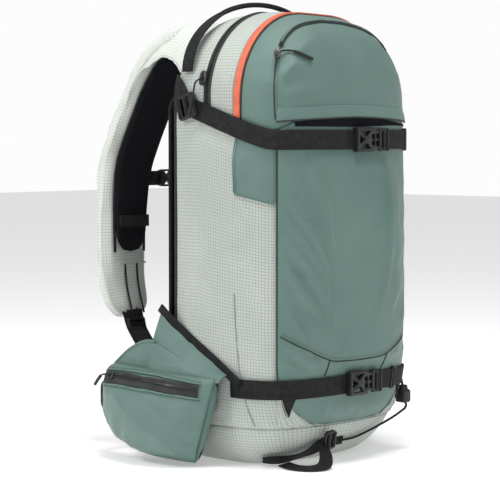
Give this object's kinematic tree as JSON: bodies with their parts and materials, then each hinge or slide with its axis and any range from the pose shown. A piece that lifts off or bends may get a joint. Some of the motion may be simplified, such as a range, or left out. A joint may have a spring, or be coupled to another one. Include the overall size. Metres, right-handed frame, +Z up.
{
  "type": "avalanche airbag backpack",
  "caption": "Ski pack with an electric fan airbag system inside, zipped lid, compression straps, puffy shoulder straps and a hip belt with zipped pockets",
  "frame": {"origin": "middle of the footprint at the height of the base the pack stands on", "axes": "+Z up, -Y out of the pack's outer face, +Y towards the wearer, -X the wearer's left"},
  "size_m": [0.4316, 0.3754, 0.6015],
  "materials": {
    "green_fabric": "matte",
    "ripstop_fabric": "matte",
    "black_fabric": "matte",
    "back_mesh": "matte",
    "webbing": "matte",
    "buckle_plastic": "satin",
    "zip_metal": "satin",
    "orange_plastic": "satin",
    "grey_plastic": "satin",
    "aluminium": "satin",
    "airbag_fabric": "matte"
  },
  "bodies": {
    "pack": {"front_panel": "green_fabric", "bottom_panel": "green_fabric", "side_panel_left": "ripstop_fabric", "side_panel_right": "ripstop_fabric", "yoke_panel": "ripstop_fabric", "back_wall": "black_fabric", "back_panel_pad": "back_mesh", "upper_webbing_left": "webbing", "upper_webbing_right": "webbing", "lower_webbing_left": "webbing", "lower_webbing_right": "webbing", "lower_strap_webbing_left": "webbing", "lower_strap_webbing_right": "webbing", "ski_loop_webbing": "webbing", "tool_cord": "webbing", "upper_buckle_socket": "buckle_plastic", "lower_buckle_socket": "buckle_plastic", "compression_ladder_lock_left": "buckle_plastic", "compression_ladder_lock_right": "buckle_plastic", "ski_loop_buckle": "buckle_plastic", "cord_lock_body": "buckle_plastic", "fan_housing": "grey_plastic", "power_module": "grey_plastic", "frame_sheet": "grey_plastic", "motor": "aluminium", "frame_stay_left": "aluminium", "frame_stay_right": "aluminium", "airbag_folded": "airbag_fabric"},
    "lid": {"lid_pocket_panel": "green_fabric", "lid_crown_panel": "ripstop_fabric"},
    "pocket_slider": {"pocket_zip_slider": "zip_metal"},
    "main_slider": {"main_zip_slider": "zip_metal"},
    "haul": {"haul_loop": "webbing"},
    "harness": {"shoulder_sleeve_left": "ripstop_fabric", "shoulder_sleeve_right": "ripstop_fabric", "shoulder_pad_left": "black_fabric", "shoulder_pad_right": "black_fabric", "strap_ladder_lock_left": "buckle_plastic", "strap_ladder_lock_right": "buckle_plastic", "sternum_webbing_left": "webbing", "sternum_webbing_right": "webbing", "sternum_buckle_socket": "buckle_plastic", "trigger_cable": "grey_plastic"},
    "sternum_plug": {"sternum_buckle_plug": "buckle_plastic"},
    "trigger": {"trigger_handle": "orange_plastic"},
    "hip_left": {"hip_wing_left": "green_fabric", "hip_pocket_left": "green_fabric"},
    "hip_right": {"hip_wing_right": "green_fabric", "hip_pocket_right": "green_fabric"},
    "hip_slider_left": {"hip_zip_slider_left": "zip_metal"},
    "hip_slider_right": {"hip_zip_slider_right": "zip_metal"},
    "hip_socket": {"hip_buckle_socket": "buckle_plastic"},
    "hip_plug": {"hip_buckle_plug": "buckle_plastic"},
    "upper_plug": {"upper_buckle_plug": "buckle_plastic"},
    "lower_plug": {"lower_buckle_plug": "buckle_plastic"},
    "fan": {"impeller": "grey_plastic"},
    "switch": {"power_switch": "orange_plastic"},
    "cord_button": {"cord_lock_button": "buckle_plastic"}
  },
  "joints": [
    {"name": "lid_open", "type": "hinge", "parent": "pack", "child": "lid", "pos_m": [0, -0.17792, 0.447], "axis": [1, 0, 0], "range_deg": [0, 70]},
    {"name": "pocket_zip_slide", "type": "slide", "parent": "lid", "child": "pocket_slider", "axis": [0.584, -0.1347, 0.8005], "range_m": [0, 0.015]},
    {"name": "main_zip_slide", "type": "slide", "parent": "pack", "child": "main_slider", "axis": [0.22, 0, 0.9755], "range_m": [0, 0.025]},
    {"name": "haul_loop_swing", "type": "hinge", "parent": "pack", "child": "haul", "pos_m": [0, -0.01242, 0.508], "axis": [1, 0, 0], "range_deg": [-20, 15]},
    {"name": "harness_swing", "type": "hinge", "parent": "pack", "child": "harness", "pos_m": [0, 0.02558, 0.545], "axis": [1, 0, 0], "range_deg": [0, 15]},
    {"name": "sternum_buckle_release", "type": "slide", "parent": "harness", "child": "sternum_plug", "axis": [1, 0, 0], "range_m": [0, 0.018], "deforming": ["sternum_webbing_right"]},
    {"name": "trigger_pull", "type": "slide", "parent": "harness", "child": "trigger", "axis": [0, 0, -1], "range_m": [0, 0.02]},
    {"name": "hip_wing_left_swing", "type": "hinge", "parent": "pack", "child": "hip_left", "pos_m": [-0.158, -0.08642, 0.07], "axis": [0, 0, 1], "range_deg": [0, 30]},
    {"name": "hip_wing_right_swing", "type": "hinge", "parent": "pack", "child": "hip_right", "pos_m": [0.158, -0.08642, 0.07], "axis": [0, 0, -1], "range_deg": [0, 30]},
    {"name": "hip_zip_left_slide", "type": "slide", "parent": "hip_left", "child": "hip_slider_left", "axis": [-0.3882, -0.9216, 0], "range_m": [0, 0.045]},
    {"name": "hip_zip_right_slide", "type": "slide", "parent": "hip_right", "child": "hip_slider_right", "axis": [0.3882, -0.9216, 0], "range_m": [0, 0.045]},
    {"name": "hip_buckle_socket_swing", "type": "hinge", "parent": "hip_left", "child": "hip_socket", "pos_m": [-0.168, 0.12308, 0.078], "axis": [0, 0, 1], "range_deg": [0, 60]},
    {"name": "hip_buckle_plug_swing", "type": "hinge", "parent": "hip_right", "child": "hip_plug", "pos_m": [0.168, 0.12308, 0.078], "axis": [0, 0, -1], "range_deg": [0, 60]},
    {"name": "upper_buckle_release", "type": "slide", "parent": "pack", "child": "upper_plug", "axis": [1, 0, 0], "range_m": [0, 0.022], "deforming": ["upper_webbing_right"]},
    {"name": "lower_buckle_release", "type": "slide", "parent": "pack", "child": "lower_plug", "axis": [1, 0, 0], "range_m": [0, 0.022], "deforming": ["lower_webbing_right"]},
    {"name": "fan_spin", "type": "hinge", "parent": "pack", "child": "fan", "pos_m": [0, -0.04042, 0.35], "axis": [0, 1, 0], "continuous": true},
    {"name": "power_switch_press", "type": "slide", "parent": "pack", "child": "switch", "axis": [0, 1, 0], "range_m": [0, 0.003], "stiffness_N_per_m": 300},
    {"name": "cord_lock_press", "type": "slide", "parent": "pack", "child": "cord_button", "axis": [0, 0, -1], "range_m": [0, 0.003], "stiffness_N_per_m": 400}
  ]
}
